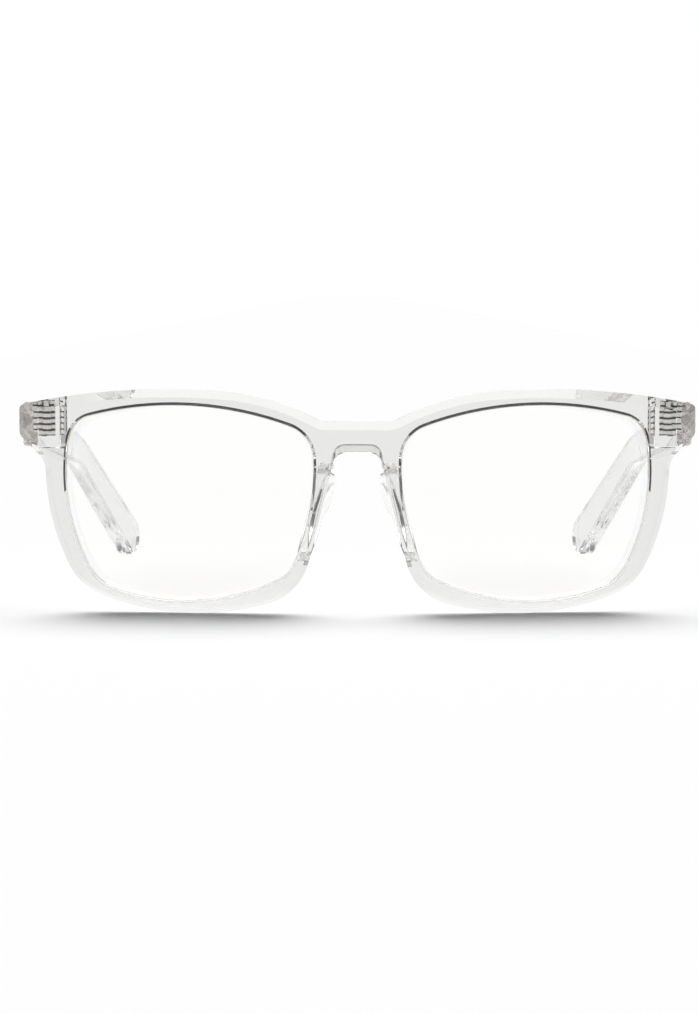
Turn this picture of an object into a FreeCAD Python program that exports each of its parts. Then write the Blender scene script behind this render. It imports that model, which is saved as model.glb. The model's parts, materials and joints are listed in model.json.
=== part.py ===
import FreeCAD, Part
import math
import os

from FreeCAD import Vector

# Clear full-rim spectacles: a wrapped front with two lenses, two nose pads and two
# folding temples on five-barrel hinges. Lengths in mm, angles in degrees.
# X runs across the face, Y runs from the front of the glasses back to the ears, Z is up.
# Everything is built for the +X side and mirrored, since the two halves are alike.

# ---- front: overall ----
FRONT_THICKNESS = 4.2      # front face to back face of the rims
FACE_RADIUS = 350.0        # wrap of the front face about an upright axis
BEVEL_FACE = 0.9           # bevel round the outside of the front face, seen from the front
BEVEL_DEPTH = 0.6          # the same bevel, measured front to back
BROW_BEVEL_FACE = 1.8      # wider bevel along the brow and the top of the bridge
BROW_BEVEL_DEPTH = 0.9
BACK_EDGE_RADIUS = 0.6     # rounding round the back of the rims
OPENING_EDGE_RADIUS = 0.3  # rounding of the lens openings' edges

# ---- front: lens openings, a box with four side arcs and four corner arcs ----
OPENING_WIDTH = 52.0
OPENING_HEIGHT = 40.9
BRIDGE_GAP = 18.5          # between the two openings
TOP_ARC_RADIUS = 70.0
TOP_ARC_SHIFT = 3.2        # highest point of the opening, outward of its middle
TEMPORAL_ARC_RADIUS = 43.0
TEMPORAL_ARC_SHIFT = 6.3   # widest point above the middle
BOTTOM_ARC_RADIUS = 46.0
BOTTOM_ARC_SHIFT = 1.2
NASAL_ARC_RADIUS = 50.0
NASAL_ARC_SHIFT = 7.5
CORNER_TOP_TEMPORAL = 6.0
CORNER_BOTTOM_TEMPORAL = 10.5
CORNER_TOP_NASAL = 7.5
CORNER_BOTTOM_NASAL = 7.0

# ---- front: outside outline ----
BOTTOM_RIM = 2.7           # rim width under the opening
TOP_RIM = 3.4              # rim width over the opening
TEMPORAL_RIM = 4.5         # rim width outward of the opening
NOSE_RIM = 4.0             # rim width toward the nose, at the top of the nose side
RIM_BOTTOM_RADIUS = 58.0
RIM_BOTTOM_SHIFT = -1.3    # lowest point of the rim, from the opening's middle
RIM_SIDE_RADIUS = 47.0
RIM_SIDE_RISE = 7.9        # widest point of the rim above the opening's middle
RIM_CORNER_TEMPORAL = 13.5
RIM_CORNER_NASAL = 12.5
BROW_RADIUS = 150.0
BROW_SHIFT = 4.2           # highest point of the brow, outward of the opening's middle
BROW_BLEND = 52.0          # less where the slope is too short for it
SLOPE_LEAST = 0.1          # straight slope left between the brow's blend and the bridge's
BROW_FALL_ANGLE = 27.0     # slope of the brow where it runs down to the bridge
BRIDGE_FLAT = 15.0         # width of the level top of the bridge
BRIDGE_HEIGHT = 6.9
BRIDGE_DROP = 6.7          # bridge top below the top of the brow
BRIDGE_TOP_BLEND = 4.5
NOSE_SIDE_ANGLE = 76.0     # nose side against the level
NOSE_TOP_BLEND = 2.6
SADDLE_RISE = 2.3          # the bridge's underside rises this much from back to front
SADDLE_LIP_DEPTH = 1.7     # flatter strip of the underside behind its front edge
SADDLE_LIP_RISE = 0.5

# ---- end pieces ----
END_REACH = 5.55           # end piece outward of the rim's widest point
END_SIDE_DROP = 9.7        # foot of the upright side below the top of the brow
END_SLOPE_ANGLE = 45.0
END_SLOPE_BLEND = 4.5
END_LOWER_CORNER = 2.0
END_UPPER_CORNER = 1.3
BUTT_DEPTH = 15.5          # front of the bridge back to where the temples butt
BLOCK_WIDTH = 8.8          # hinge block across its back face
BLOCK_FLARE = 1.8          # extra width of the hinge block at the rim
BLOCK_BOTTOM = 34.3        # underside of the hinge block over the table
BLOCK_EDGE_RADIUS = 0.25   # rounding round the butt face

# ---- lenses ----
LENS_RADIUS = 132.5        # middle of the lens, base 4 curve
LENS_THICKNESS = 2.0
LENS_FIT = 0.05            # clearance round the lens in the opening and in the groove
RIDGE_HEIGHT = 0.6         # bevelled ridge round the lens, which sits in the rim's groove
RIDGE_WIDTH = 1.1
RIDGE_CHAMFER = 0.5        # taken off the ridge's two outer edges, which leaves a V

# ---- nose pads ----
PAD_TOP = 32.9             # over the table
PAD_BOTTOM = 9.8
PAD_WRAP = 2.2             # the pad wraps this far forward round the rim's nose side
PAD_BACK_REACH = 7.0       # behind the back face of the rim
PAD_SPLAY_ANGLE = 20.0     # the nose side leans outward going back
PAD_SLOPE_START = 0.9      # at the rim's back face, proud of the rim's nose side
PAD_WIDTH = 2.8            # from the rim's nose side outward
PAD_UPPER_RADIUS = 15.0    # upper lobe: curve, how far proud of the rim, and its height
PAD_UPPER_PROUD = 1.55
PAD_UPPER_HEIGHT = 24.7
PAD_LOWER_RADIUS = 34.0    # lower lobe, likewise
PAD_LOWER_PROUD = 0.6
PAD_LOWER_HEIGHT = 17.5
PAD_WAIST_BLEND = 1.0      # hollow between the two lobes
PAD_CORNER = 0.8
PAD_TOP_ANGLE = 28.0       # slope of the pad's upper and lower ends, seen from the side
PAD_BOTTOM_ANGLE = 24.0
PAD_BACK_RADIUS = 14.0
PAD_BACK_CORNER = 3.0
PAD_EDGE_RADIUS = 0.4
GLUE_GAP = 0.04

# ---- temples ----
TEMPLE_THICKNESS = 4.0
TEMPLE_BUTT_HEIGHT = 9.4
TEMPLE_BUTT_BOTTOM = 34.5  # over the table
TEMPLE_BUTT_GAP = 0.06     # between the butt faces with the temples open
TEMPLE_TOP_ANGLE = 6.7     # slope of the upper edge
TEMPLE_LOWER_ANGLE = 5.4   # slope of the lower edge
TIP_DEPTH = 148.0          # middle of the rounded tip behind the front
TIP_RADIUS = 4.6
EAR_ANGLE = 31.0           # fall of the part behind the ear
EAR_FLARE_ANGLE = 1.5      # each edge opens by this toward the tip
EAR_INNER_RADIUS = 28.0
EAR_OUTER_RADIUS = 38.0
HUG_DEPTH = 104.0          # where the temple starts to lean in behind the ear
HUG_ANGLE = 13.5
HUG_RADIUS = 90.0
TEMPLE_EDGE_RADIUS = 0.9

# ---- hinges ----
BARREL_RADIUS = 1.2
BARREL_OFF_TEMPLE = 0.2    # barrel clear of the temple's inner face
BARREL_OFF_BUTT = 0.1      # barrel clear of the butt plane
BARREL_COUNT = 5
BARREL_PITCH = 1.24
BARREL_GAP = 0.04          # between neighbouring barrels
HINGE_MIDDLE = 40.0        # middle of the hinge over the table
SCREW_RADIUS = 0.6
SCREW_FIT = 0.03           # radial clearance of the screw in the barrels
SCREW_HEAD_RADIUS = 1.15
SCREW_HEAD_HEIGHT = 0.7
SCREW_SLOT = 0.3
SCREW_SLOT_DEPTH = 0.3
SCREW_TAIL = 0.25          # screw end below the lowest barrel
LEAF_FIT = 0.02            # clearance of the leaves in their pockets
FLANGE_WIDTH = 3.6         # front leaf, plate let into the butt face
FLANGE_THICKNESS = 0.8
TONGUE_LENGTH = 4.2        # anchor of the front leaf sunk in the end piece
TONGUE_THICKNESS = 1.0
BAR_WIDTH = 1.8            # crossbar at the anchor's end
BAR_THICKNESS = 0.9
TONGUE_MARGIN = 0.8        # tongue shorter than the flange at top and bottom
NOTCH_WIDTH = 0.56         # level notches across the flange and the anchor, in line with the barrels' gaps
NOTCH_DEPTH = 0.34
PLATE_LENGTH = 9.0         # temple leaf, plate let into the temple's inner face
PLATE_THICKNESS = 0.9


class Line:
    """A straight guide through a point, running in a direction."""

    def __init__(self, point, angle):
        self.point = point
        turn = math.radians(angle)
        self.way = (math.cos(turn), math.sin(turn))

    def shifted(self, amount):
        """The same guide moved to its left by amount."""
        moved = Line(self.point, 0.0)
        moved.way = self.way
        moved.point = (self.point[0] - self.way[1] * amount, self.point[1] + self.way[0] * amount)
        return moved

    def nearest(self, spot):
        """The point of the guide nearest to spot."""
        along = (spot[0] - self.point[0]) * self.way[0] + (spot[1] - self.point[1]) * self.way[1]
        return (self.point[0] + along * self.way[0], self.point[1] + along * self.way[1])

    def mirrored(self):
        """The guide on the other side of the upright middle, walked the other way."""
        other = Line((-self.point[0], self.point[1]), 0.0)
        other.way = (self.way[0], -self.way[1])
        return other


class Circle:
    """A round guide, walked anticlockwise."""

    def __init__(self, centre, radius):
        self.centre = centre
        self.radius = radius

    def shifted(self, amount):
        """The same guide moved to its left, toward its centre, by amount."""
        return Circle(self.centre, self.radius - amount)

    def nearest(self, spot):
        """The point of the guide nearest to spot."""
        away = math.dist(self.centre, spot)
        grow = self.radius / away
        return (
            self.centre[0] + (spot[0] - self.centre[0]) * grow,
            self.centre[1] + (spot[1] - self.centre[1]) * grow,
        )

    def mirrored(self):
        """The guide on the other side of the upright middle."""
        return Circle((-self.centre[0], self.centre[1]), self.radius)


def meet(first, second, near):
    """The crossing of two guides that lies nearest to a point."""
    if isinstance(first, Line) and isinstance(second, Line):
        (px, py), (dx, dy) = first.point, first.way
        (qx, qy), (ex, ey) = second.point, second.way
        along = ((qx - px) * ey - (qy - py) * ex) / (dx * ey - dy * ex)
        return (px + along * dx, py + along * dy)
    if isinstance(first, Circle) and isinstance(second, Circle):
        apart = math.dist(first.centre, second.centre)
        ux = (second.centre[0] - first.centre[0]) / apart
        uy = (second.centre[1] - first.centre[1]) / apart
        along = (apart ** 2 + first.radius ** 2 - second.radius ** 2) / (2 * apart)
        aside = math.sqrt(first.radius ** 2 - along ** 2)
        foot = (first.centre[0] + along * ux, first.centre[1] + along * uy)
    else:
        line, ring = (first, second) if isinstance(first, Line) else (second, first)
        foot = line.nearest(ring.centre)
        aside = math.sqrt(ring.radius ** 2 - math.dist(foot, ring.centre) ** 2)
        ux, uy = line.way[1], -line.way[0]
    found = [(foot[0] - side * aside * uy, foot[1] + side * aside * ux) for side in (1, -1)]
    return min(found, key=lambda spot: math.dist(spot, near))


def outline(guides, corners, place):
    """A closed face that walks the guides in turn, anticlockwise.

    corners[i] is (radius, rough place) of the rounding from guide i to the next one;
    the radius is negative where the outline turns to the right and 0 for a sharp corner.
    place turns a 2-D point into a 3-D one.
    """
    count = len(guides)
    turns = []
    for index, (radius, near) in enumerate(corners):
        here = guides[index]
        following = guides[(index + 1) % count]
        middle = meet(here.shifted(radius), following.shifted(radius), near)
        turns.append((here.nearest(middle), following.nearest(middle), middle, radius))
    edges = []
    for index, (start, end, middle, radius) in enumerate(turns):
        if radius != 0:
            edges.append(arc_edge(middle, start, end, radius > 0, place))
        guide = guides[(index + 1) % count]
        stop = turns[(index + 1) % count][0]
        if isinstance(guide, Line):
            edges.append(Part.makeLine(place(end), place(stop)))
        else:
            edges.append(arc_edge(guide.centre, end, stop, True, place))
    return Part.Face(Part.Wire(edges))


def arc_edge(centre, start, end, anticlockwise, place):
    """An arc about centre from start to end."""
    radius = math.dist(centre, start)
    begin = math.atan2(start[1] - centre[1], start[0] - centre[0])
    finish = math.atan2(end[1] - centre[1], end[0] - centre[0])
    sweep = (finish - begin) % (2 * math.pi)
    if not anticlockwise:
        sweep -= 2 * math.pi
    halfway = begin + sweep / 2
    middle = (centre[0] + radius * math.cos(halfway), centre[1] + radius * math.sin(halfway))
    return Part.Arc(place(start), place(middle), place(end)).toShape()


def across(depth):
    """Places (x, z) points in an upright plane across the face at a depth."""
    return lambda spot: Vector(spot[0], depth, spot[1])


def sideways(reach):
    """Places (y, z) points in the upright plane at X = reach."""
    return lambda spot: Vector(reach, spot[0], spot[1])


def plan(height):
    """Places (x, y) points in a level plane."""
    return lambda spot: Vector(spot[0], spot[1], height)


def box(x0, x1, y0, y1, z0, z1):
    """A box between three pairs of limits."""
    return Part.makeBox(x1 - x0, y1 - y0, z1 - z0, Vector(x0, y0, z0))


def other_side(shape):
    """The shape's mirror image on the -X side."""
    return shape.mirror(Vector(0, 0, 0), Vector(1, 0, 0))


# ---- sizes that follow from the ones above ----
HALF_WIDTH = BRIDGE_GAP / 2 + OPENING_WIDTH + TEMPORAL_RIM + END_REACH
OPENING_X = BRIDGE_GAP / 2 + OPENING_WIDTH / 2
OPENING_Z = BOTTOM_RIM + OPENING_HEIGHT / 2
FRAME_TOP = BOTTOM_RIM + OPENING_HEIGHT + TOP_RIM
BRIDGE_TOP = FRAME_TOP - BRIDGE_DROP
BRIDGE_UNDER = BRIDGE_TOP - BRIDGE_HEIGHT
END_SIDE_FOOT = FRAME_TOP - END_SIDE_DROP
TEMPLE_INNER = HALF_WIDTH - TEMPLE_THICKNESS
AXIS_X = TEMPLE_INNER - BARREL_OFF_TEMPLE - BARREL_RADIUS
AXIS_Y = BUTT_DEPTH + BARREL_OFF_BUTT + BARREL_RADIUS
HINGE_HEIGHT = BARREL_COUNT * BARREL_PITCH
HINGE_BOTTOM = HINGE_MIDDLE - HINGE_HEIGHT / 2
SPAN = 4 * HALF_WIDTH      # longer than anything it has to pass through
NOSE_EDGE = (BRIDGE_GAP / 2 - NOSE_RIM, BRIDGE_UNDER - NOSE_TOP_BLEND)


def front_y(x):
    """Depth of the front face at X = x."""
    return FACE_RADIUS - math.sqrt(FACE_RADIUS ** 2 - x ** 2)


def middle_y(x):
    """Depth of the middle of the rims at X = x."""
    radius = FACE_RADIUS - FRONT_THICKNESS / 2
    return FACE_RADIUS - math.sqrt(radius ** 2 - x ** 2)


def opening_prism(grow):
    """The lens opening, grown by an amount all round, run through the front."""
    half_w = OPENING_WIDTH / 2 + grow
    half_h = OPENING_HEIGHT / 2 + grow
    bottom = BOTTOM_ARC_RADIUS + grow
    side = TEMPORAL_ARC_RADIUS + grow
    top = TOP_ARC_RADIUS + grow
    nasal = NASAL_ARC_RADIUS + grow
    guides = [
        Circle((OPENING_X + BOTTOM_ARC_SHIFT, OPENING_Z - half_h + bottom), bottom),
        Circle((OPENING_X + half_w - side, OPENING_Z + TEMPORAL_ARC_SHIFT), side),
        Circle((OPENING_X + TOP_ARC_SHIFT, OPENING_Z + half_h - top), top),
        Circle((OPENING_X - half_w + nasal, OPENING_Z + NASAL_ARC_SHIFT), nasal),
    ]
    corners = [
        (CORNER_BOTTOM_TEMPORAL + grow, (OPENING_X + half_w, OPENING_Z - half_h)),
        (CORNER_TOP_TEMPORAL + grow, (OPENING_X + half_w, OPENING_Z + half_h)),
        (CORNER_TOP_NASAL + grow, (OPENING_X - half_w, OPENING_Z + half_h)),
        (CORNER_BOTTOM_NASAL + grow, (OPENING_X - half_w, OPENING_Z - half_h)),
    ]
    face = outline(guides, corners, across(-FRONT_THICKNESS))
    return face.extrude(Vector(0, 2 * BUTT_DEPTH, 0))


def brow_blend_room(brow):
    """Largest brow blend that leaves the bridge's own blend its place on the slope.

    A blend of radius r between the brow's circle and the slope touches the slope at a
    distance t from the slope's foot. Its centre is r off the slope and BROW_RADIUS - r
    from the brow's centre, which gives r from t.
    """
    turn = math.radians(BROW_FALL_ANGLE)
    touch = BRIDGE_TOP_BLEND * math.tan(turn / 2) + SLOPE_LEAST
    foot_x = BRIDGE_FLAT / 2 - brow[0]
    foot_z = BRIDGE_TOP - brow[1]
    uphill = foot_x * math.cos(turn) + foot_z * math.sin(turn)
    inward = foot_x * math.sin(turn) - foot_z * math.cos(turn)
    room = BROW_RADIUS ** 2 - foot_x ** 2 - foot_z ** 2 - touch ** 2 - 2 * touch * uphill
    return room / (2 * (BROW_RADIUS + inward))


def front_prism(grow):
    """The outside outline of the front, grown by an amount, run from front to back."""
    rim_x = OPENING_X + OPENING_WIDTH / 2 + TEMPORAL_RIM
    rim_z = OPENING_Z + RIM_SIDE_RISE
    bottom_x = OPENING_X + RIM_BOTTOM_SHIFT
    brow = (OPENING_X + BROW_SHIFT, FRAME_TOP - BROW_RADIUS)
    fall = BROW_FALL_ANGLE
    right = [
        Line((0, BRIDGE_UNDER), 0),
        Line(NOSE_EDGE, -NOSE_SIDE_ANGLE),
        Circle((bottom_x, RIM_BOTTOM_RADIUS), RIM_BOTTOM_RADIUS),
        Circle((rim_x - RIM_SIDE_RADIUS, rim_z), RIM_SIDE_RADIUS),
        Line((HALF_WIDTH, END_SIDE_FOOT), END_SLOPE_ANGLE),
        Line((HALF_WIDTH, END_SIDE_FOOT), 90),
        Circle(brow, BROW_RADIUS),
        Line((BRIDGE_FLAT / 2, BRIDGE_TOP), 180 + fall),
        Line((0, BRIDGE_TOP), 180),
    ]
    right = [guide.shifted(-grow) for guide in right]
    rounds = [
        (-NOSE_TOP_BLEND, NOSE_EDGE),
        (RIM_CORNER_NASAL, (OPENING_X - OPENING_WIDTH / 2, 0)),
        (RIM_CORNER_TEMPORAL, (rim_x, 0)),
        (-END_SLOPE_BLEND, (rim_x, rim_z)),
        (END_LOWER_CORNER, (HALF_WIDTH, END_SIDE_FOOT)),
        (END_UPPER_CORNER, (HALF_WIDTH, FRAME_TOP)),
        (min(BROW_BLEND, brow_blend_room(brow)), (BRIDGE_FLAT, BRIDGE_TOP)),
        (-BRIDGE_TOP_BLEND, (BRIDGE_FLAT / 2, BRIDGE_TOP)),
    ]
    # outward roundings grow with the outline and hollow ones shrink
    rounds = [(radius + grow, near) for radius, near in rounds]
    guides = right + [guide.mirrored() for guide in reversed(right[1:-1])]
    corners = rounds + [(radius, (-near[0], near[1])) for radius, near in reversed(rounds)]
    face = outline(guides, corners, across(-FRONT_THICKNESS))
    return face.extrude(Vector(0, 2 * BUTT_DEPTH, 0))


def wrapped_sheet(grow):
    """The sheet the front is cut from: a piece of tube about an upright axis."""
    foot = Vector(0, FACE_RADIUS, -FRAME_TOP)
    tall = 3 * FRAME_TOP
    outside = Part.makeCylinder(FACE_RADIUS + grow, tall, foot)
    return outside.cut(Part.makeCylinder(FACE_RADIUS - FRONT_THICKNESS - grow, tall, foot))


def lens_centre():
    """Centre of the lens's curve, level with the middle of its opening.

    The middle of the lens meets the middle of the rim at the nasal and temporal sides.
    """
    x0 = OPENING_X - OPENING_WIDTH / 2
    x1 = OPENING_X + OPENING_WIDTH / 2
    y0 = middle_y(x0)
    y1 = middle_y(x1)
    chord = math.hypot(x1 - x0, y1 - y0)
    back = math.sqrt(LENS_RADIUS ** 2 - (chord / 2) ** 2)
    return Vector(
        (x0 + x1) / 2 - back * (y1 - y0) / chord,
        (y0 + y1) / 2 + back * (x1 - x0) / chord,
        OPENING_Z,
    )


def lens_shell(thickness):
    """A hollow ball about the lens's centre, of the given wall thickness."""
    outside = Part.makeSphere(LENS_RADIUS + thickness / 2, lens_centre())
    return outside.cut(Part.makeSphere(LENS_RADIUS - thickness / 2, lens_centre()))


def ridge_ring(grow):
    """The V-shaped ridge round the lens, as a disk; grown by a clearance it cuts the groove."""
    reach = RIDGE_HEIGHT + grow
    disk = opening_prism(reach).common(lens_shell(RIDGE_WIDTH + 2 * grow))
    # parallel flanks stand the clearance apart when the chamfer grows by this much
    chamfer = RIDGE_CHAMFER + (2 - math.sqrt(2)) * grow
    return disk.makeChamfer(chamfer, [edge for edge in disk.Edges if on_sphere(disk, edge)])


def on_sphere(disk, edge):
    """True for an edge that bounds one of the disk's two round faces."""
    balls = [face for face in disk.Faces if isinstance(face.Surface, Part.Sphere)]
    return any(edge.isSame(other) for face in balls for other in face.OuterWire.Edges)


def make_lens():
    """One lens with the V-shaped ridge that holds it in the rim."""
    body = opening_prism(-LENS_FIT).common(lens_shell(LENS_THICKNESS))
    return body.fuse(ridge_ring(0)).Solids[0]


def hinge_block():
    """The block behind one end piece that carries the hinge."""
    root = front_y(HALF_WIDTH) + 1
    back_inner = HALF_WIDTH - BLOCK_WIDTH
    corners = [
        Vector(back_inner - BLOCK_FLARE, root, 0),
        Vector(HALF_WIDTH + 1, root, 0),
        Vector(HALF_WIDTH + 1, BUTT_DEPTH, 0),
        Vector(back_inner, BUTT_DEPTH, 0),
    ]
    foot = Part.Face(Part.makePolygon(corners + corners[:1]))
    foot.translate(Vector(0, 0, BLOCK_BOTTOM))
    return foot.extrude(Vector(0, 0, FRAME_TOP)).common(front_prism(0))


def saddle_cut():
    """The tunnel that raises the bridge's underside toward the front.

    It has the outline of the nose arch's top. It climbs steeply from the back face forward,
    and gently over the last stretch behind the front face.
    """
    steep_run = FRONT_THICKNESS - SADDLE_LIP_DEPTH
    steep = (SADDLE_RISE - SADDLE_LIP_RISE) / steep_run
    gentle = SADDLE_LIP_RISE / SADDLE_LIP_DEPTH
    back = arch_tunnel(FRONT_THICKNESS, 0, steep)
    fore = arch_tunnel(SADDLE_LIP_DEPTH, steep * steep_run, gentle)
    return back.common(slab_behind(SADDLE_LIP_DEPTH)).fuse(fore)


def arch_tunnel(depth, rise, slope):
    """A tunnel with the arch's outline, raised by rise at a depth, that climbs going forward."""
    low = NOSE_EDGE[1] - NOSE_TOP_BLEND
    guides = [
        Line((0, low), 0),
        Line(NOSE_EDGE, 180 - NOSE_SIDE_ANGLE),
        Line((0, BRIDGE_UNDER), 180),
        Line((-NOSE_EDGE[0], NOSE_EDGE[1]), 180 + NOSE_SIDE_ANGLE),
    ]
    corners = [
        (0, (NOSE_EDGE[0], low)),
        (NOSE_TOP_BLEND, (NOSE_EDGE[0], BRIDGE_UNDER)),
        (NOSE_TOP_BLEND, (-NOSE_EDGE[0], BRIDGE_UNDER)),
        (0, (-NOSE_EDGE[0], low)),
    ]
    face = outline(guides, corners, across(depth))
    face.translate(Vector(0, 0, rise))
    return face.extrude(Vector(0, -2 * FRONT_THICKNESS, 2 * FRONT_THICKNESS * slope))


def slab_behind(depth):
    """Everything of the front that lies behind a depth."""
    return box(-HALF_WIDTH, HALF_WIDTH, depth, 2 * FRONT_THICKNESS, 0, 2 * FRAME_TOP)


def face_edges(shape, radius, outer):
    """Edges of the wrapped face of a given radius: round its outside, or round its openings."""
    found = []
    for face in shape.Faces:
        if isinstance(face.Surface, Part.Cylinder) and abs(face.Surface.Radius - radius) < 1e-6:
            for wire in face.Wires:
                if wire.isSame(face.OuterWire) == outer:
                    found += wire.Edges
    return found


def barrel_feet(first):
    """Heights of every second barrel's foot, from the given barrel up."""
    return [HINGE_BOTTOM + index * BARREL_PITCH for index in range(first, BARREL_COUNT, 2)]


def barrels(first, arm_limits):
    """Every second barrel of a hinge, each with an arm to its leaf, bored for the screw.

    arm_limits is (x0, x1, y0, y1) of the arm.
    """
    solid = None
    for foot in barrel_feet(first):
        low = foot + BARREL_GAP / 2
        tall = BARREL_PITCH - BARREL_GAP
        piece = Part.makeCylinder(BARREL_RADIUS, tall, Vector(AXIS_X, AXIS_Y, low))
        piece = piece.fuse(box(*arm_limits, low, low + tall))
        solid = piece if solid is None else solid.fuse(piece)
    return solid


def screw_bore():
    """The hole for the hinge screw, right through the barrels."""
    foot = Vector(AXIS_X, AXIS_Y, HINGE_BOTTOM - HINGE_HEIGHT)
    return Part.makeCylinder(SCREW_RADIUS + SCREW_FIT, 3 * HINGE_HEIGHT, foot)


def front_anchor(grow):
    """Flange and anchor of the front leaf, grown by a clearance for its pocket."""
    half = FLANGE_WIDTH / 2 + grow
    middle = AXIS_X - FLANGE_WIDTH / 2 + BARREL_RADIUS
    flange = box(
        middle - half, middle + half,
        BUTT_DEPTH - FLANGE_THICKNESS - grow, BUTT_DEPTH,
        HINGE_BOTTOM - grow, HINGE_BOTTOM + HINGE_HEIGHT + grow,
    )
    low = HINGE_BOTTOM + TONGUE_MARGIN - grow
    tall = HINGE_HEIGHT - 2 * TONGUE_MARGIN + 2 * grow
    end = BUTT_DEPTH - FLANGE_THICKNESS - TONGUE_LENGTH
    tongue = box(
        middle - TONGUE_THICKNESS / 2 - grow, middle + TONGUE_THICKNESS / 2 + grow,
        end, BUTT_DEPTH, low, low + tall,
    )
    bar = box(
        middle - BAR_WIDTH / 2 - grow, middle + BAR_WIDTH / 2 + grow,
        end - grow, end + BAR_THICKNESS + grow, low, low + tall,
    )
    return flange.fuse(tongue).fuse(bar).removeSplitter()


def notch(face_depth, height):
    """A level V cut into a face that looks forward at the given depth."""
    half = NOTCH_WIDTH / 2
    corners = [
        Vector(TEMPLE_INNER - BLOCK_WIDTH, face_depth, height - half),
        Vector(TEMPLE_INNER - BLOCK_WIDTH, face_depth + NOTCH_DEPTH, height),
        Vector(TEMPLE_INNER - BLOCK_WIDTH, face_depth, height + half),
    ]
    ridge = Part.Face(Part.makePolygon(corners + corners[:1]))
    return ridge.extrude(Vector(2 * BLOCK_WIDTH, 0, 0))


def make_front_leaf():
    """Front leaf of the hinge: notched flange and anchor, and the outer three of five barrels."""
    arms = (AXIS_X - BARREL_RADIUS, AXIS_X + BARREL_RADIUS, BUTT_DEPTH - FLANGE_THICKNESS / 2, AXIS_Y)
    leaf = front_anchor(0).fuse(barrels(0, arms))
    flange_face = BUTT_DEPTH - FLANGE_THICKNESS
    for index in range(1, BARREL_COUNT):
        height = HINGE_BOTTOM + index * BARREL_PITCH
        leaf = leaf.cut(notch(flange_face, height)).cut(notch(flange_face - TONGUE_LENGTH, height))
    return leaf.cut(screw_bore()).removeSplitter().Solids[0]


def temple_plate():
    """Plate of the temple leaf, let into the temple's inner face."""
    return box(
        TEMPLE_INNER, TEMPLE_INNER + PLATE_THICKNESS,
        AXIS_Y - BARREL_RADIUS, AXIS_Y - BARREL_RADIUS + PLATE_LENGTH,
        HINGE_BOTTOM + TONGUE_MARGIN,
        HINGE_BOTTOM + HINGE_HEIGHT - TONGUE_MARGIN,
    )


def temple_pocket():
    """The pocket for the plate, open at the temple's inner face and at its butt."""
    return box(
        TEMPLE_INNER - LEAF_FIT, TEMPLE_INNER + PLATE_THICKNESS + LEAF_FIT,
        BUTT_DEPTH, AXIS_Y - BARREL_RADIUS + PLATE_LENGTH + LEAF_FIT,
        HINGE_BOTTOM + TONGUE_MARGIN - LEAF_FIT,
        HINGE_BOTTOM + HINGE_HEIGHT - TONGUE_MARGIN + LEAF_FIT,
    )


def make_temple_leaf():
    """Temple leaf of the hinge: plate and the inner two of five barrels."""
    arms = (AXIS_X, TEMPLE_INNER + PLATE_THICKNESS / 2, AXIS_Y - BARREL_RADIUS, AXIS_Y + BARREL_RADIUS)
    leaf = temple_plate().fuse(barrels(1, arms))
    return leaf.cut(screw_bore()).removeSplitter().Solids[0]


def make_screw():
    """Hinge screw: slotted head on the top barrel and a shank through all five."""
    top = HINGE_BOTTOM + HINGE_HEIGHT
    foot = HINGE_BOTTOM - SCREW_TAIL
    shank = Part.makeCylinder(SCREW_RADIUS, top - foot, Vector(AXIS_X, AXIS_Y, foot))
    head = Part.makeCylinder(SCREW_HEAD_RADIUS, SCREW_HEAD_HEIGHT, Vector(AXIS_X, AXIS_Y, top))
    slot = box(
        AXIS_X - SCREW_SLOT / 2, AXIS_X + SCREW_SLOT / 2,
        AXIS_Y - 2 * SCREW_HEAD_RADIUS, AXIS_Y + 2 * SCREW_HEAD_RADIUS,
        top + SCREW_HEAD_HEIGHT - SCREW_SLOT_DEPTH, top + 2 * SCREW_HEAD_HEIGHT,
    )
    return shank.fuse(head).cut(slot).removeSplitter().Solids[0]


def brow_cutter(blank):
    """Cutter for the wide bevel, swept along the upper front edge from end piece to end piece."""
    top = []
    for edge in face_edges(blank, FACE_RADIUS, True):
        middle = edge.valueAt((edge.FirstParameter + edge.LastParameter) / 2)
        if middle.z > BRIDGE_TOP - END_UPPER_CORNER and abs(middle.x) < HALF_WIDTH - END_UPPER_CORNER:
            top.append(edge)
    ends = Part.Wire(Part.__sortEdges__(top)).OrderedVertexes
    run_out = []
    for end in (ends[0].Point, ends[-1].Point):
        slope = (abs(end.x) - OPENING_X - BROW_SHIFT) / BROW_RADIUS
        way = Vector(1, end.x / FACE_RADIUS, -slope)
        if end.x < 0:
            way = Vector(-1, -end.x / FACE_RADIUS, -slope)
        run_out.append(Part.makeLine(end, end + way * (3 * END_UPPER_CORNER)))
    path = Part.Wire(Part.__sortEdges__(top + run_out))
    start = path.OrderedVertexes[0].Point
    steep = BROW_BEVEL_FACE / BROW_BEVEL_DEPTH
    spare = BROW_BEVEL_DEPTH / 2
    section = [
        Vector(0, -spare, BROW_BEVEL_FACE),
        Vector(0, -spare, -BROW_BEVEL_FACE - spare * steep),
        Vector(0, BROW_BEVEL_DEPTH + spare, spare * steep),
        Vector(0, BROW_BEVEL_DEPTH + spare, BROW_BEVEL_FACE),
    ]
    section = [start + corner for corner in section]
    sweep = Part.BRepOffsetAPI.MakePipeShell(path)
    sweep.setBiNormalMode(Vector(0, 1, 0))
    sweep.add(Part.makePolygon(section + section[:1]))
    sweep.build()
    sweep.makeSolid()
    return sweep.shape()


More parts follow.
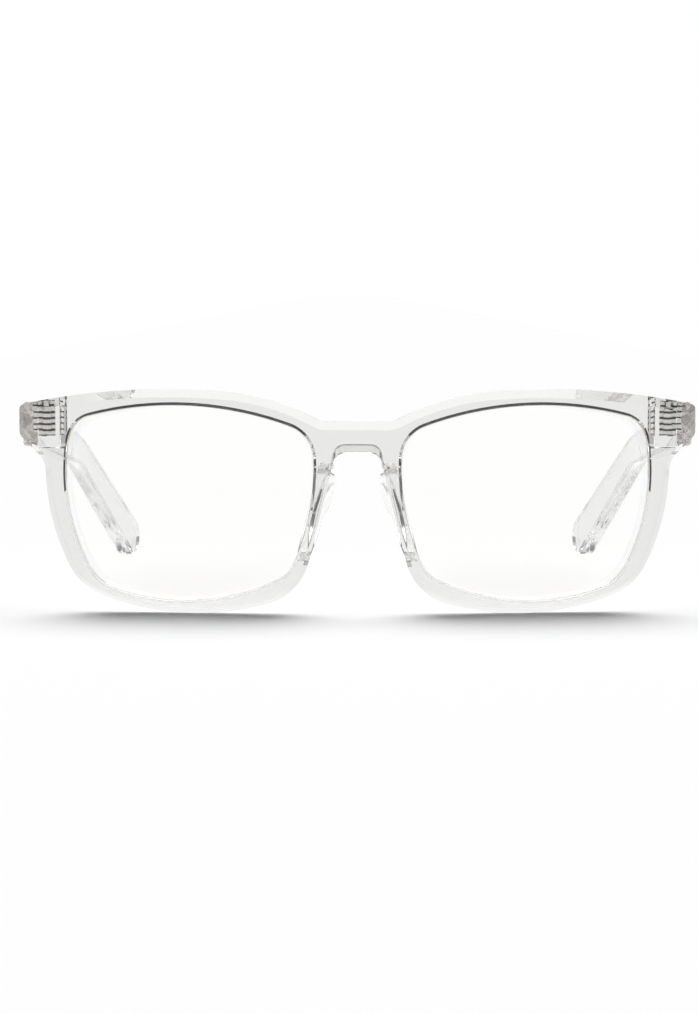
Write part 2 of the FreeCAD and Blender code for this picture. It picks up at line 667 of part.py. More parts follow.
def make_front():
    """The front: both rims, the bridge and the two end pieces, with grooves and hinge pockets."""
    blank = front_prism(0).common(wrapped_sheet(0))
    back_radius = FACE_RADIUS - FRONT_THICKNESS
    solid = blank.makeChamfer(BEVEL_FACE, BEVEL_DEPTH, face_edges(blank, FACE_RADIUS, True))
    solid = solid.makeFillet(BACK_EDGE_RADIUS, face_edges(solid, back_radius, True))
    solid = solid.cut(brow_cutter(blank))
    solid = solid.fuse(hinge_block()).fuse(other_side(hinge_block())).removeSplitter()
    butts = [face for face in solid.Faces if face.BoundBox.YMin > BUTT_DEPTH - BLOCK_EDGE_RADIUS]
    solid = solid.makeFillet(BLOCK_EDGE_RADIUS, [edge for face in butts for edge in face.Edges])
    solid = solid.cut(saddle_cut())
    for turned in (lambda shape: shape, other_side):
        solid = solid.cut(turned(opening_prism(0)))
    rims = face_edges(solid, FACE_RADIUS, False) + face_edges(solid, back_radius, False)
    solid = solid.makeFillet(OPENING_EDGE_RADIUS, rims)
    groove = ridge_ring(LENS_FIT)
    for turned in (lambda shape: shape, other_side):
        solid = solid.cut(turned(groove)).cut(turned(front_anchor(LEAF_FIT)))
    return solid.removeSplitter().Solids[0]


def temple_side():
    """Side view of a temple, as a slab from the face's middle outward."""
    start = BUTT_DEPTH + TEMPLE_BUTT_GAP
    tip = (TIP_DEPTH, TIP_RADIUS)
    low = Line((start, TEMPLE_BUTT_BOTTOM), -TEMPLE_LOWER_ANGLE)
    high = Line((start, TEMPLE_BUTT_BOTTOM + TEMPLE_BUTT_HEIGHT), 180 - TEMPLE_TOP_ANGLE)
    ear_low = Line(tip, -EAR_ANGLE - EAR_FLARE_ANGLE).shifted(-TIP_RADIUS)
    ear_high = Line(tip, 180 - EAR_ANGLE + EAR_FLARE_ANGLE).shifted(-TIP_RADIUS)
    guides = [low, ear_low, ear_high, high, Line((start, 0), -90)]
    corners = [
        (-EAR_INNER_RADIUS, tip),
        (TIP_RADIUS, tip),
        (EAR_OUTER_RADIUS, tip),
        (0, tip),
        (0, tip),
    ]
    return outline(guides, corners, sideways(0)).extrude(Vector(SPAN, 0, 0))


def temple_plan():
    """Plan view of a temple: straight, then leaning in behind the ear."""
    start = BUTT_DEPTH + TEMPLE_BUTT_GAP
    end = SPAN
    bend = (HALF_WIDTH, HUG_DEPTH)
    inner_bend = (TEMPLE_INNER, HUG_DEPTH - TEMPLE_THICKNESS * math.tan(math.radians(HUG_ANGLE / 2)))
    guides = [
        Line((0, start), 0),
        Line(bend, 90),
        Line(bend, 90 + HUG_ANGLE),
        Line((0, end), 180),
        Line(inner_bend, -90 + HUG_ANGLE),
        Line(inner_bend, -90),
    ]
    corners = [
        (0, bend),
        (HUG_RADIUS + TEMPLE_THICKNESS, bend),
        (0, bend),
        (0, bend),
        (-HUG_RADIUS, bend),
        (0, bend),
    ]
    return outline(guides, corners, plan(-FRAME_TOP)).extrude(Vector(0, 0, 3 * FRAME_TOP))


def make_temple():
    """One temple with rounded long edges and the pocket for its hinge plate."""
    solid = temple_side().common(temple_plan())
    solid = solid.makeFillet(TEMPLE_EDGE_RADIUS, [edge for edge in solid.Edges if runs_lengthwise(edge)])
    return solid.cut(temple_pocket()).Solids[0]


def runs_lengthwise(edge):
    """True for a temple edge that runs along its length or round its tip."""
    run = edge.Vertexes[1].Point - edge.Vertexes[0].Point
    return math.hypot(run.y, run.z) > TEMPLE_THICKNESS / 2 and abs(run.y) > 0.1 * run.Length


def pad_prism():
    """Front view of one nose pad, with its two lobes toward the nose, run straight back."""
    nose = Line(NOSE_EDGE, -NOSE_SIDE_ANGLE)
    outward = (math.sin(math.radians(NOSE_SIDE_ANGLE)), math.cos(math.radians(NOSE_SIDE_ANGLE)))
    lobes = []
    for height, radius, proud in (
        (PAD_UPPER_HEIGHT, PAD_UPPER_RADIUS, PAD_UPPER_PROUD),
        (PAD_LOWER_HEIGHT, PAD_LOWER_RADIUS, PAD_LOWER_PROUD),
    ):
        crest = nose.nearest((NOSE_EDGE[0], height))
        away = radius - proud
        lobes.append(Circle((crest[0] + away * outward[0], crest[1] + away * outward[1]), radius))
    lens_side = Line(NOSE_EDGE, 180 - NOSE_SIDE_ANGLE).shifted(-PAD_WIDTH)
    guides = [Line((0, PAD_BOTTOM), 0), lens_side, Line((0, PAD_TOP), 180), lobes[0], lobes[1]]
    low_x = nose.nearest((NOSE_EDGE[0], PAD_BOTTOM))[0]
    waist = nose.nearest((NOSE_EDGE[0], (PAD_UPPER_HEIGHT + PAD_LOWER_HEIGHT) / 2))
    corners = [
        (PAD_CORNER, (low_x, PAD_BOTTOM)),
        (PAD_CORNER, (NOSE_EDGE[0], PAD_TOP)),
        (PAD_CORNER, (NOSE_EDGE[0], PAD_TOP)),
        (-PAD_WAIST_BLEND, waist),
        (PAD_CORNER, (low_x, PAD_BOTTOM)),
    ]
    start = FRONT_THICKNESS - PAD_WRAP
    return outline(guides, corners, across(start)).extrude(Vector(0, BUTT_DEPTH, 0))


def pad_slope():
    """All that lies on the nose side of the pad's sloping face, which leans outward going back."""
    lean = math.radians(PAD_SPLAY_ANGLE)
    tilt = math.radians(NOSE_SIDE_ANGLE)
    down = Vector(math.cos(tilt), 0, -math.sin(tilt))
    out = Vector(math.sin(tilt), 0, math.cos(tilt))
    back = Vector(0, 1, 0)
    along = out * math.sin(lean) + back * math.cos(lean)
    away = back * math.sin(lean) - out * math.cos(lean)
    foot = Vector(NOSE_EDGE[0], FRONT_THICKNESS, NOSE_EDGE[1]) - out * PAD_SLOPE_START
    corners = [foot + down * (SPAN * i) + along * (SPAN * j) for i, j in ((-1, -1), (1, -1), (1, 1), (-1, 1))]
    return Part.Face(Part.makePolygon(corners + corners[:1])).extrude(away * SPAN)


def pad_side():
    """Side view of a nose pad, as a slab from the face's middle outward."""
    start = FRONT_THICKNESS - PAD_WRAP
    back = FRONT_THICKNESS + PAD_BACK_REACH
    middle = (PAD_TOP + PAD_BOTTOM) / 2
    guides = [
        Line((start, PAD_BOTTOM), PAD_BOTTOM_ANGLE),
        Circle((back - PAD_BACK_RADIUS, middle), PAD_BACK_RADIUS),
        Line((start, PAD_TOP), 180 - PAD_TOP_ANGLE),
        Line((start, 0), -90),
    ]
    corners = [
        (PAD_BACK_CORNER, (back, PAD_BOTTOM)),
        (PAD_BACK_CORNER, (back, PAD_TOP)),
        (0, (start, PAD_TOP)),
        (0, (start, PAD_BOTTOM)),
    ]
    return outline(guides, corners, sideways(0)).extrude(Vector(SPAN, 0, 0))


def make_pad():
    """One nose pad, hollowed to sit on the back and the nose side of the rim."""
    solid = pad_prism().common(pad_side()).cut(pad_slope())
    start = FRONT_THICKNESS - PAD_WRAP
    rear = [edge for edge in solid.Edges if edge.BoundBox.YMin > start + GLUE_GAP]
    solid = solid.makeFillet(PAD_EDGE_RADIUS, rear)
    return solid.cut(front_prism(GLUE_GAP).common(wrapped_sheet(GLUE_GAP))).Solids[0]


one_side = {
    "lens": make_lens,
    "nose_pad": make_pad,
    "front_leaf": make_front_leaf,
    "temple_leaf": make_temple_leaf,
    "hinge_screw": make_screw,
    "temple": make_temple,
}
shapes = {"front_frame": make_front()}
for name, maker in one_side.items():
    # the side the wearer calls left is +X
    shape = maker()
    shapes[name + "_left"] = shape
    shapes[name + "_right"] = other_side(shape)

# the origin is the middle of the underside of the box round everything
bounds = Part.makeCompound(list(shapes.values())).optimalBoundingBox(True, False)
shift = Vector(0, -(bounds.YMin + bounds.YMax) / 2, -bounds.ZMin)
print("hinge axis", AXIS_X, AXIS_Y + shift.y, HINGE_MIDDLE + shift.z)

os.makedirs("parts", exist_ok=True)
for name, shape in shapes.items():
    shape.translate(shift)
    shape.exportStep("parts/" + name + ".step")
    print(name, shape.isValid(), len(shape.Solids), round(shape.Volume, 1))
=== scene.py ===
"""Clear full-rim spectacles: a finish for every piece, a white studio and the camera.

Lengths are metres and angles are degrees. X runs across the face, Y from the front of the
glasses back to the ears, and Z is up. Every piece keeps its place in the loaded frame.
"""

import json
import logging
import math
from dataclasses import dataclass
from enum import Enum
from typing import Any

import bpy
import numpy as np
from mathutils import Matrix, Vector


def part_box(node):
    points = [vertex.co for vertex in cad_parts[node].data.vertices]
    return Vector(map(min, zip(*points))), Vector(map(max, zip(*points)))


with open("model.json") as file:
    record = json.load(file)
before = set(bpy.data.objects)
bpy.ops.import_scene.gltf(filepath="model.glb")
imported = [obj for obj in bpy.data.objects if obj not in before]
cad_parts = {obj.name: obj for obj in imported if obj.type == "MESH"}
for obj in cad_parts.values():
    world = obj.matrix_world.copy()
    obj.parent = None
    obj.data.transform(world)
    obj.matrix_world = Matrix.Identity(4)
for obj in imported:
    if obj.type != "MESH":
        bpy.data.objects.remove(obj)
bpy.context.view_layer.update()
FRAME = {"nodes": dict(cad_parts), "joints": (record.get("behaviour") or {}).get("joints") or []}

LOG = logging.getLogger("spectacles")
MM = 0.001
LIGHT_BOUNCES = 40  # light runs the length of a clear temple by many reflections inside it
RING_WAVE = 2 * math.pi / 20  # phase per metre of Blender's ring pattern at a scale of 1


class Side(Enum):
    """The wearer's two sides; the left one is at +X."""

    LEFT = "left"
    RIGHT = "right"


def linear(hex_colour: str) -> tuple[float, float, float, float]:
    """Turns an sRGB hex colour into linear RGBA.

    Args:
        hex_colour: six hex digits.

    Returns:
        Linear red, green and blue, and an alpha of 1.
    """
    parts = [int(hex_colour[i:i + 2], 16) / 255 for i in (0, 2, 4)]
    red, green, blue = [p / 12.92 if p <= 0.04045 else ((p + 0.055) / 1.055) ** 2.4 for p in parts]
    return (red, green, blue, 1.0)


def node(tree: bpy.types.NodeTree, kind: str, settings: dict[str, Any] | None = None,
         **inputs: Any) -> bpy.types.Node:
    """Adds a node, sets its properties, and fills or links its inputs.

    Args:
        tree: node tree that the node goes into.
        kind: Blender's name for the node type.
        settings: properties of the node itself.
        **inputs: socket names with underscores for spaces, or i0, i1 and so on for a
            numbered socket, each with a value or with an output socket to link.

    Returns:
        The new node.
    """
    made = tree.nodes.new(kind)
    for name, value in (settings or {}).items():
        setattr(made, name, value)
    for name, value in inputs.items():
        numbered = name[0] == "i" and name[1:].isdigit()
        socket = made.inputs[int(name[1:])] if numbered else made.inputs[name.replace("_", " ")]
        if isinstance(value, bpy.types.NodeSocket):
            tree.links.new(value, socket)
        else:
            socket.default_value = value
    return made


def empty_material(name: str) -> tuple[bpy.types.Material, bpy.types.NodeTree]:
    """Makes a material with an empty node tree.

    Args:
        name: the material's name.

    Returns:
        The material and its node tree.
    """
    material = bpy.data.materials.new(name)
    material.use_nodes = True
    material.node_tree.nodes.clear()
    return material, material.node_tree


def mixed_colour(tree: bpy.types.NodeTree, share: bpy.types.NodeSocket, first: str,
                 second: str) -> bpy.types.NodeSocket:
    """Mixes two colours.

    Args:
        tree: node tree that the mix goes into.
        share: how much of the second colour is in the mix.
        first: sRGB hex colour where the share is 0.
        second: sRGB hex colour where the share is 1.

    Returns:
        The mixed colour's output socket.
    """
    mix = node(tree, "ShaderNodeMix", {"data_type": "RGBA"}, i0=share, i6=linear(first),
               i7=linear(second))
    return mix.outputs[2]


def larger(tree: bpy.types.NodeTree, first: bpy.types.NodeSocket,
           second: bpy.types.NodeSocket) -> bpy.types.NodeSocket:
    """Picks the larger of two values.

    Args:
        tree: node tree that the comparison goes into.
        first: one value.
        second: the other value.

    Returns:
        The larger value's output socket.
    """
    return node(tree, "ShaderNodeMath", {"operation": "MAXIMUM"}, i0=first, i1=second).outputs["Value"]


SMOOTH = {"interpolation_type": "SMOOTHSTEP"}


@dataclass(frozen=True)
class ClearPlastic:
    """A clear moulding, tumbled to a polish, with a faint colour in its thickness.

    The surface has three kinds of detail: the slow waves that the plastic sinks into as it
    cools, the fine orange peel that tumbling leaves, and patches that handling has dulled.
    """

    name: str
    tint: str
    ior: float
    polish: float            # roughness where the polish is whole
    dull: float              # roughness where handling has dulled it
    patch: float             # width of the dulled patches
    wave: float              # spacing of the sink waves
    wave_height: float
    peel: float              # spacing of the orange peel
    peel_height: float
    body: str = "FFFFFF"     # colour that the thickness takes on
    density: float = 0.0     # how fast it takes it on, per metre
    film: float = 0.0        # coating thickness in nanometres
    film_ior: float = 1.33
    patch_low: float = 0.4   # noise level where the dulling begins
    patch_high: float = 0.7  # and where it is complete

    def build(self) -> bpy.types.Material:
        """Makes the material.

        Returns:
            A clear dielectric over an absorbing body, with relief and patchy roughness.
        """
        material, tree = empty_material(self.name)
        spot = node(tree, "ShaderNodeTexCoord").outputs["Object"]
        patches = node(tree, "ShaderNodeTexNoise", Vector=spot, Scale=1 / self.patch, Detail=3.0)
        rough = node(tree, "ShaderNodeMapRange", SMOOTH, Value=patches.outputs["Fac"],
                     From_Min=self.patch_low, From_Max=self.patch_high, To_Min=self.polish,
                     To_Max=self.dull)
        waves = node(tree, "ShaderNodeTexNoise", Vector=spot, Scale=1 / self.wave, Detail=0.0)
        sunk = node(tree, "ShaderNodeBump", Distance=self.wave_height, Height=waves.outputs["Fac"])
        peel = node(tree, "ShaderNodeTexNoise", Vector=spot, Scale=1 / self.peel, Detail=1.0)
        relief = node(tree, "ShaderNodeBump", Distance=self.peel_height, Height=peel.outputs["Fac"],
                      Normal=sunk.outputs["Normal"])
        gloss = node(tree, "ShaderNodeBsdfPrincipled", Base_Color=linear(self.tint),
                     Roughness=rough.outputs["Result"], IOR=self.ior, Transmission_Weight=1.0,
                     Thin_Film_Thickness=self.film, Thin_Film_IOR=self.film_ior,
                     Normal=relief.outputs["Normal"])
        out = node(tree, "ShaderNodeOutputMaterial", Surface=gloss.outputs["BSDF"])
        if self.density > 0:
            depth = node(tree, "ShaderNodeVolumeAbsorption", Color=linear(self.body), Density=self.density)
            tree.links.new(depth.outputs["Volume"], out.inputs["Volume"])
        return material


@dataclass(frozen=True)
class StampedMetal:
    """Rolled metal, stamped and brushed, with painted shade: dark bands laid on the joints between its
    barrels.
    """

    name: str
    colour: str
    # painted shade: the near-black colour laid on the joints between barrels, where the gaps lie in shade
    painted_joint_shade: str
    bright: float            # roughness of the brushed faces
    joint_shade_roughness: float              # roughness of the painted shade bands
    brush: float             # spacing of the brush lines
    brush_length: float
    brush_height: float
    stray: float             # how far the painted shade strays from its joint
    stray_size: float
    joint_shade_from: float = 0.5  # cosine of the band's phase where the painted shade begins
    joint_shade_full: float = 0.85

    def build(self, pitch: float, joint: float) -> bpy.types.Material:
        """Makes the material.

        Args:
            pitch: height of one barrel.
            joint: height over the table of any joint between two barrels.

        Returns:
            A metal with painted shade in level bands one pitch apart, at the joints between barrels.
        """
        material, tree = empty_material(self.name)
        spot = node(tree, "ShaderNodeTexCoord").outputs["Object"]
        stray = node(tree, "ShaderNodeTexNoise", Vector=spot, Scale=1 / self.stray_size, Detail=2.0)
        drift = node(tree, "ShaderNodeMapRange", Value=stray.outputs["Fac"], To_Min=-self.stray,
                     To_Max=self.stray)
        height = node(tree, "ShaderNodeSeparateXYZ", Vector=spot)
        level = node(tree, "ShaderNodeMath", {"operation": "ADD"}, i0=height.outputs["Z"],
                     i1=drift.outputs["Result"])
        turn = node(tree, "ShaderNodeMath", {"operation": "MULTIPLY_ADD"}, i0=level.outputs["Value"],
                    i1=2 * math.pi / pitch, i2=-2 * math.pi * joint / pitch)
        wave = node(tree, "ShaderNodeMath", {"operation": "COSINE"}, i0=turn.outputs["Value"])
        # painted shade: near-black bands at the barrel joints, standing for the shade in the gaps between
        # barrels
        dark = node(tree, "ShaderNodeMapRange", SMOOTH, Value=wave.outputs["Value"],
                    From_Min=self.joint_shade_from, From_Max=self.joint_shade_full)
        tone = mixed_colour(tree, dark.outputs["Result"], self.colour, self.painted_joint_shade)
        rough = node(tree, "ShaderNodeMapRange", Value=dark.outputs["Result"], To_Min=self.bright,
                     To_Max=self.joint_shade_roughness)
        drawn = node(tree, "ShaderNodeMapping", Vector=spot,
                     Scale=(1 / self.brush, 1 / self.brush_length, 1 / self.brush))
        lines = node(tree, "ShaderNodeTexNoise", Vector=drawn.outputs["Vector"], Scale=1.0, Detail=2.0)
        relief = node(tree, "ShaderNodeBump", Distance=self.brush_height, Height=lines.outputs["Fac"])
        gloss = node(tree, "ShaderNodeBsdfPrincipled", Base_Color=tone, Metallic=1.0,
                     Roughness=rough.outputs["Result"], Normal=relief.outputs["Normal"])
        node(tree, "ShaderNodeOutputMaterial", Surface=gloss.outputs["BSDF"])
        return material


@dataclass(frozen=True)
class TurnedMetal:
    """Bar turned on a lathe, with the tool's rings about the screw's axis and painted shade at the bottom
    of each ring.
    """

    name: str
    colour: str
    ring_shade: str              # painted shade at the bottom of the tool's rings
    smooth: float
    coarse: float
    ring: float              # spacing of the tool's rings
    ring_height: float
    wobble: float = 0.6      # how unevenly the rings run

    def build(self, axis: tuple[float, float]) -> bpy.types.Material:
        """Makes the material.

        Args:
            axis: X and Y of the left screw; the right one is its mirror image.

        Returns:
            A metal with rings about each screw's axis.
        """
        material, tree = empty_material(self.name)
        spot = node(tree, "ShaderNodeTexCoord").outputs["Object"]
        split = node(tree, "ShaderNodeSeparateXYZ", Vector=spot)
        across = node(tree, "ShaderNodeMath", {"operation": "ABSOLUTE"}, i0=split.outputs["X"])
        joined = node(tree, "ShaderNodeCombineXYZ", X=across.outputs["Value"], Y=split.outputs["Y"],
                      Z=split.outputs["Z"])
        centred = node(tree, "ShaderNodeMapping", Vector=joined.outputs["Vector"],
                       Location=(-axis[0], -axis[1], 0.0))
        rings = node(tree, "ShaderNodeTexWave", {"wave_type": "RINGS", "rings_direction": "Z"},
                     Vector=centred.outputs["Vector"], Scale=RING_WAVE / self.ring,
                     Distortion=self.wobble, Detail=1.0)
        # painted shade: the bottoms of the tool's rings take the darker colour
        tone = mixed_colour(tree, rings.outputs["Fac"], self.ring_shade, self.colour)
        rough = node(tree, "ShaderNodeMapRange", Value=rings.outputs["Fac"], To_Min=self.coarse,
                     To_Max=self.smooth)
        relief = node(tree, "ShaderNodeBump", Distance=self.ring_height, Height=rings.outputs["Fac"])
        gloss = node(tree, "ShaderNodeBsdfPrincipled", Base_Color=tone, Metallic=1.0,
                     Roughness=rough.outputs["Result"], Normal=relief.outputs["Normal"])
        node(tree, "ShaderNodeOutputMaterial", Surface=gloss.outputs["BSDF"])
        return material


# Clear polyamide 12, injection moulded and tumbled: to the eye a colourless solid with bright
# bevels, whose long ways through, as at the hinge ends, turn a faint warm grey.
FRAME_PLASTIC = ClearPlastic(
    name="clear_polyamide_frame", tint="E9E9E8", ior=1.51, polish=0.015, dull=0.05, patch=14 * MM,
    wave=7 * MM, wave_height=0.005 * MM, peel=0.9 * MM, peel_height=0.0004 * MM,
    body="A08674", density=2.2)

# Clear moulded silicone in the nose pads: it bends light less than the frame, so the dark
# cards show through it in long patches, and its softer skin is a little duller.
PAD_PLASTIC = ClearPlastic(
    name="clear_silicone_pad", tint="FFFFFE", ior=1.41, polish=0.02, dull=0.07, patch=5 * MM,
    wave=3 * MM, wave_height=0.01 * MM, peel=0.7 * MM, peel_height=0.0008 * MM,
    body="9A8C82", density=2.4)

# Cast polycarbonate with a hard coating that turns blue light back: almost invisible from the
# front, with a weak blue-violet sheen where it mirrors the lamps, and faint wiping haze.
LENS_PLASTIC = ClearPlastic(
    name="coated_polycarbonate_lens", tint="FFFFFE", ior=1.56, polish=0.0, dull=0.012, patch=18 * MM,
    wave=30 * MM, wave_height=0.002 * MM, peel=2.5 * MM, peel_height=0.00005 * MM,
    film=190.0, film_ior=1.75)

# Nickel silver strip, stamped, rolled into barrels and brushed: pale and faintly warm, with
# black lines of painted shade where the barrels meet. The brush lines are ten times coarser
# than real ones, which would be too fine to see.
HINGE_METAL = StampedMetal(
    name="brushed_nickel_silver", colour="F4F3F0", painted_joint_shade="1C1A19", bright=0.22, joint_shade_roughness=0.55,
    brush=0.1 * MM, brush_length=2.4 * MM, brush_height=0.003 * MM, stray=0.22 * MM,
    stray_size=0.9 * MM)

# Stainless steel screw, turned on a lathe: darker and bluer than the leaves, with fine rings
# round its head that are drawn three times coarser than the tool leaves them, and painted shade at the
# bottom of each ring.
SCREW_METAL = TurnedMetal(
    name="turned_stainless_steel", colour="B4B4B5", ring_shade="8E8E90", smooth=0.18, coarse=0.34,
    ring=0.12 * MM, ring_height=0.004 * MM)


def dress(node_name: str, material: bpy.types.Material, shades_floor: bool = False) -> None:
    """Gives a piece of the frame one material all over.

    Args:
        node_name: the piece's name in the frame.
        material: its finish.
        shades_floor: whether it throws a shadow.
    """
    piece = FRAME["nodes"][node_name]
    for material_slot in piece.material_slots:
        material_slot.material = material
    piece.visible_shadow = shades_floor
    LOG.info("%s: %s, %d faces", node_name, material.name, len(piece.data.polygons))


@dataclass
class Front:
    """The wrapped front with its two lenses and two glued nose pads."""

    finish: ClearPlastic = FRAME_PLASTIC
    lens_finish: ClearPlastic = LENS_PLASTIC
    pad_finish: ClearPlastic = PAD_PLASTIC

    def build(self) -> None:
        """Dresses the front, the lenses and the pads."""
        dress("front_frame", self.finish.build())
        lens = self.lens_finish.build()
        pad = self.pad_finish.build()
        for side in Side:
            dress(f"lens_{side.value}", lens, shades_floor=True)
            dress(f"nose_pad_{side.value}", pad)


@dataclass
class Hinges:
    """Two five-barrel hinges: a leaf in the front, a leaf in the temple and a screw each."""

    leaf_finish: StampedMetal = HINGE_METAL
    screw_finish: TurnedMetal = SCREW_METAL
    barrels: int = 5

    def build(self) -> None:
        """Dresses the leaves and the screws, with the painted shade bands and the rings placed by the
        frame.
        """
        low, high = (np.array(corner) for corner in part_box("front_leaf_left"))
        pitch = float(high[2] - low[2]) / self.barrels
        axis = next(j["pos_m"] for j in FRAME["joints"] if j["name"] == "fold_left")
        leaf = self.leaf_finish.build(pitch, float(low[2]))
        screw = self.screw_finish.build((axis[0], axis[1]))
        for side in Side:
            dress(f"front_leaf_{side.value}", leaf, shades_floor=True)
            dress(f"temple_leaf_{side.value}", leaf, shades_floor=True)
            dress(f"hinge_screw_{side.value}", screw, shades_floor=True)


@dataclass
class Temples:
    """The two folding temples, each one moulding from the butt to the ear."""

    material_name: str = FRAME_PLASTIC.name    # the front already wears it

    def build(self) -> None:
        """Dresses both temples in the front's own plastic."""
        for side in Side:
            dress(f"temple_{side.value}", bpy.data.materials[self.material_name])


@dataclass
class Studio:
    """A white table and a white surround, with dark cards beside it and one soft overhead lamp.

    A surround that is white everywhere would hide a clear object. So what the plastic
    mirrors and bends is darker straight over it and to its sides: those directions only
    show in the bevels, the lens grooves and the pads, and draw them. The cards, the backdrop
    and the panel are all parts of the surround's light, and none is an object.
    """

    floor_side: float = 0.34
    floor_front: float = -3.0
    floor_back: float = 30.0
    floor_colour: str = "F4F4F4"
    floor_glow: float = 0.06
    cards_dark: float = 0.6        # the cards are dark up to this size of y
    cards_end: float = 0.78        # and have ended at this one
    cards_foot: float = -0.1       # they fade out from this z
    cards_bottom: float = -0.22    # down to this one
    cards_level: float = 0.03
    backdrop_start: float = 0.6    # the backdrop comes in from this y
    backdrop_full: float = 0.8     # and is whole at this one
    backdrop_from: float = 0.1     # its extra light comes in from this z
    backdrop_to: float = 0.22      # and is whole at this one
    backdrop_extra: float = 0.16
    backdrop_fade: float = 0.4     # the extra light gives way to a dimmer top from this z
    backdrop_end: float = 0.5      # which is whole at this one
    backdrop_dim: float = 0.24
    panel_way: tuple[float, float, float] = (0.0, -0.654, 0.757)
    panel_edge: float = 0.86
    panel_full: float = 0.97
    panel_level: float = 3.6
    ambient: float = 0.14
    lamp_level: float = 3.22
    lamp_spread: float = 48.0
    lamp_lean: float = 30.0

    def build(self) -> None:
        """Makes the floor, the surround and the lamp."""
        self.floor()
        self.surround()
        self.lamp()

    def floor(self) -> None:
        """Lays the floor, a flat sheet that shows white where nothing shades it."""
        across = np.array([-1, 1, 1, -1]) * self.floor_side
        along = np.array([self.floor_front, self.floor_front, self.floor_back, self.floor_back])
        corners = np.stack([across, along, np.zeros(len(across))], axis=1)
        mesh = bpy.data.meshes.new("floor")
        mesh.from_pydata(corners.tolist(), [], [tuple(range(len(across)))])
        floor = bpy.data.objects.new("floor", mesh)
        bpy.context.scene.collection.objects.link(floor)
        material, tree = empty_material("white_table")
        path = node(tree, "ShaderNodeLightPath")
        direct = larger(tree, path.outputs["Is Camera Ray"], path.outputs["Is Glossy Ray"])
        seen = larger(tree, direct, path.outputs["Is Transmission Ray"])
        matt = node(tree, "ShaderNodeBsdfDiffuse", Color=linear(self.floor_colour))
        glow = node(tree, "ShaderNodeEmission", Strength=self.floor_glow)
        none = node(tree, "ShaderNodeEmission", Strength=0.0)
        pick = node(tree, "ShaderNodeMixShader", i0=seen, i1=none.outputs[0], i2=glow.outputs[0])
        both = node(tree, "ShaderNodeAddShader", i0=matt.outputs[0], i1=pick.outputs[0])
        node(tree, "ShaderNodeOutputMaterial", Surface=both.outputs[0])
        mesh.materials.append(material)
        LOG.info("floor: %s", material.name)

    def surround(self) -> None:
        """Makes the surround, which is white to the camera and shaped for bent rays.

        With x, y and z the parts of a direction, the cards are dark where the size of y is
        small and z is above their foot. The backdrop, where y is large, adds light over a
        band of z and takes light away above it. The panel is a bright patch round one
        direction over the camera.
        """
        world = bpy.data.worlds.new("studio")
        bpy.context.scene.world = world
        world.use_nodes = True
        tree = world.node_tree
        tree.nodes.clear()
        path = node(tree, "ShaderNodeLightPath")
        bent = larger(tree, path.outputs["Is Glossy Ray"], path.outputs["Is Transmission Ray"])
        way = node(tree, "ShaderNodeTexCoord").outputs["Generated"]
        split = node(tree, "ShaderNodeSeparateXYZ", Vector=way)
        depth = node(tree, "ShaderNodeMath", {"operation": "ABSOLUTE"}, i0=split.outputs["Y"])
        ends = node(tree, "ShaderNodeMapRange", SMOOTH, Value=depth.outputs["Value"],
                    From_Min=self.cards_dark, From_Max=self.cards_end)
        low = node(tree, "ShaderNodeMapRange", SMOOTH, Value=split.outputs["Z"],
                   From_Min=self.cards_foot, From_Max=self.cards_bottom)
        open_ways = larger(tree, ends.outputs["Result"], low.outputs["Result"])
        cards = node(tree, "ShaderNodeMapRange", Value=open_ways, To_Min=self.cards_level, To_Max=1.0)
        behind = node(tree, "ShaderNodeMapRange", SMOOTH, Value=split.outputs["Y"],
                      From_Min=self.backdrop_start, From_Max=self.backdrop_full)
        above = node(tree, "ShaderNodeMapRange", SMOOTH, Value=split.outputs["Z"],
                     From_Min=self.backdrop_from, From_Max=self.backdrop_to,
                     To_Min=0.0, To_Max=self.backdrop_extra)
        top = node(tree, "ShaderNodeMapRange", SMOOTH, Value=split.outputs["Z"],
                   From_Min=self.backdrop_fade, From_Max=self.backdrop_end,
                   To_Min=0.0, To_Max=self.backdrop_extra + self.backdrop_dim)
        strip = node(tree, "ShaderNodeMath", {"operation": "SUBTRACT"}, i0=above.outputs["Result"],
                     i1=top.outputs["Result"])
        lit = node(tree, "ShaderNodeMath", {"operation": "MULTIPLY_ADD"}, i0=behind.outputs["Result"],
                   i1=strip.outputs["Value"], i2=cards.outputs["Result"])
        toward = node(tree, "ShaderNodeVectorMath", {"operation": "DOT_PRODUCT"}, i0=way,
                      i1=self.panel_way)
        panel = node(tree, "ShaderNodeMapRange", SMOOTH, Value=toward.outputs["Value"],
                     From_Min=self.panel_edge, From_Max=self.panel_full, To_Max=self.panel_level)
        view = larger(tree, lit.outputs["Value"], panel.outputs["Result"])
        other = node(tree, "ShaderNodeMix", {"data_type": "FLOAT"}, Factor=path.outputs["Is Camera Ray"],
                     A=self.ambient, B=1.0)
        level = node(tree, "ShaderNodeMix", {"data_type": "FLOAT"}, Factor=bent, A=other.outputs[0],
                     B=view)
        sky = node(tree, "ShaderNodeBackground", Color=linear("FFFFFF"), Strength=level.outputs[0])
        node(tree, "ShaderNodeOutputWorld", Surface=sky.outputs[0])
        LOG.info("surround: %d nodes", len(tree.nodes))

    def lamp(self) -> None:
        """Hangs one soft lamp overhead, leaning so that the shadows fall forward.

        The plastic doesn't mirror the lamp, because it already mirrors the panel.
        """
        lamp = bpy.data.lights.new("over_lamp", "SUN")
        lamp.angle = math.radians(self.lamp_spread)
        lamp.energy = self.lamp_level
        hung = bpy.data.objects.new(lamp.name, lamp)
        hung.rotation_euler = (math.radians(-self.lamp_lean), 0, 0)
        hung.visible_glossy = False
        hung.visible_transmission = False
        bpy.context.scene.collection.objects.link(hung)
        LOG.info("lamp: %s", lamp.name)


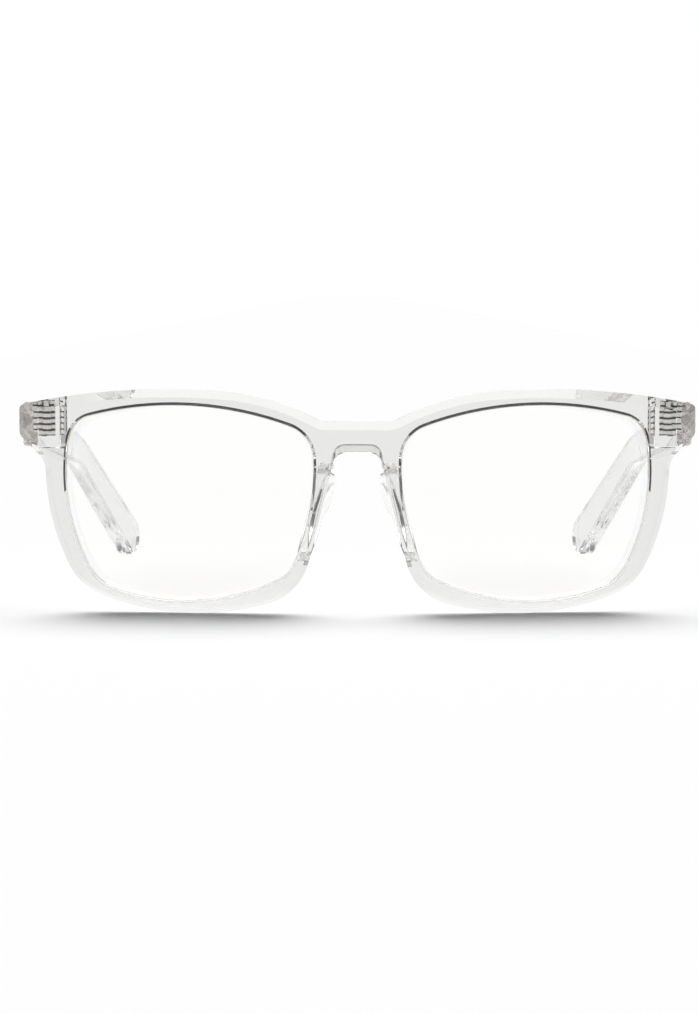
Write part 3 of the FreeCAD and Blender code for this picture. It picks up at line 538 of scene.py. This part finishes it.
@dataclass
class Viewpoint:
    """The camera, square to the front and a little above the brow."""

    distance: float = 650 * MM
    height: float = 68 * MM
    aim_x: float = -1.77 * MM
    aim_z: float = 22.6 * MM
    focal: float = 110.9
    sensor: float = 36.0
    clip: float = 0.01

    def build(self) -> None:
        """Puts the camera in front of the glasses, aimed at their foremost plane."""
        front_y = float(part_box("front_frame")[0][1])
        lens = bpy.data.cameras.new("camera")
        lens.lens = self.focal
        lens.sensor_width = self.sensor
        lens.clip_start = self.clip
        camera = bpy.data.objects.new("camera", lens)
        camera.location = (self.aim_x, front_y - self.distance, self.height)
        aim = Vector((self.aim_x, front_y, self.aim_z))
        camera.rotation_euler = (aim - camera.location).to_track_quat("-Z", "Y").to_euler()
        bpy.context.scene.collection.objects.link(camera)
        bpy.context.scene.camera = camera


def main() -> None:
    """Builds the sub-assemblies and the studio in order, and logs each piece."""
    scene = bpy.context.scene
    scene.view_settings.view_transform = "Standard"
    scene.cycles.max_bounces = LIGHT_BOUNCES
    scene.cycles.glossy_bounces = LIGHT_BOUNCES
    scene.cycles.transmission_bounces = LIGHT_BOUNCES
    Front().build()
    Hinges().build()
    Temples().build()
    Studio().build()
    Viewpoint().build()


if __name__ == "__main__":
    logging.basicConfig(level=logging.INFO, format="%(name)s %(message)s")
    main()
